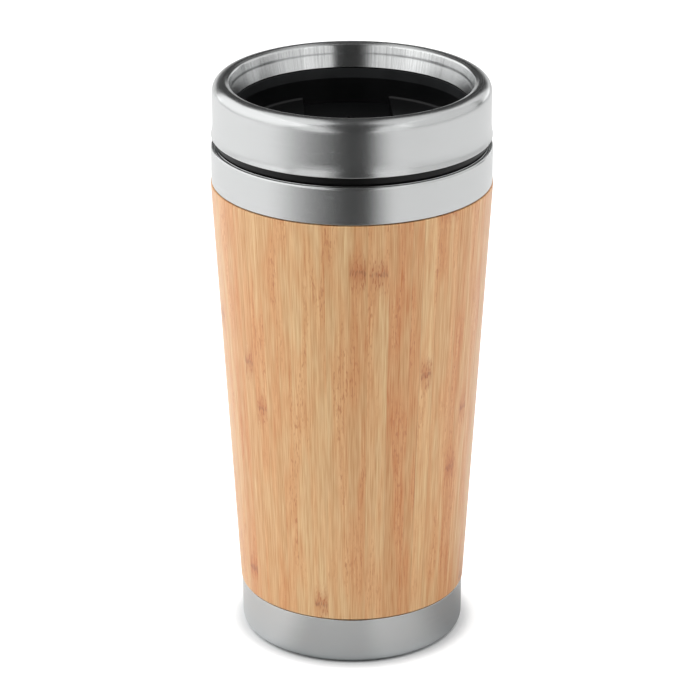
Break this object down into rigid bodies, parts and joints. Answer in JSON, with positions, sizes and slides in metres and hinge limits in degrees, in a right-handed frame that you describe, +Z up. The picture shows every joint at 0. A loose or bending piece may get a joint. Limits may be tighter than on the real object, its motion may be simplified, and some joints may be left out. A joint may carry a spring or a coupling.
{
  "type": "double-walled tumbler",
  "caption": "Tapered double-walled drinking tumbler with a bamboo sleeve, brushed steel bands and a black screw lid whose slider opens a drinking slot.",
  "frame": {"origin": "middle of the underside, on the surface that the tumbler stands on", "axes": "+Z up along the tumbler's axis; the drinking slot faces -Y and +X is to the drinker's right when they drink"},
  "size_m": [0.0834, 0.0834, 0.1743],
  "materials": {
    "brushed_steel": "satin, brushed round the piece",
    "bamboo": "sanded laminated bamboo under a thin matt lacquer",
    "black_plastic": "satin moulded polypropylene",
    "black_silicone": "matt silicone"
  },
  "bodies": {
    "cup": {"inner_liner": "brushed_steel", "outer_shell": "brushed_steel", "top_collar": "brushed_steel", "bamboo_sleeve": "bamboo", "base_cup": "brushed_steel"},
    "gasket": {"lid_gasket": "black_silicone"},
    "lid": {"lid_body": "black_plastic", "lid_trim_ring": "brushed_steel"},
    "slider": {"lid_slider": "black_plastic", "slider_seal": "black_silicone"}
  },
  "joints": [
    {"name": "lid_rise", "type": "slide", "parent": "cup", "child": "gasket", "axis": [0, 0, 1], "range_m": [0, 0.0135]},
    {"name": "lid_turn", "type": "hinge", "parent": "gasket", "child": "lid", "pos_m": [0, 0, 0.155], "axis": [0, 0, 1], "range_deg": [0, 540]},
    {"name": "slider_open", "type": "slide", "parent": "lid", "child": "slider", "axis": [-0.0576, 0.9983, 0], "range_m": [0, 0.0135]}
  ],
  "couplings": [
    {"joint": "lid_rise", "follows": "lid_turn", "m_per_rad": 0.0014324}
  ]
}
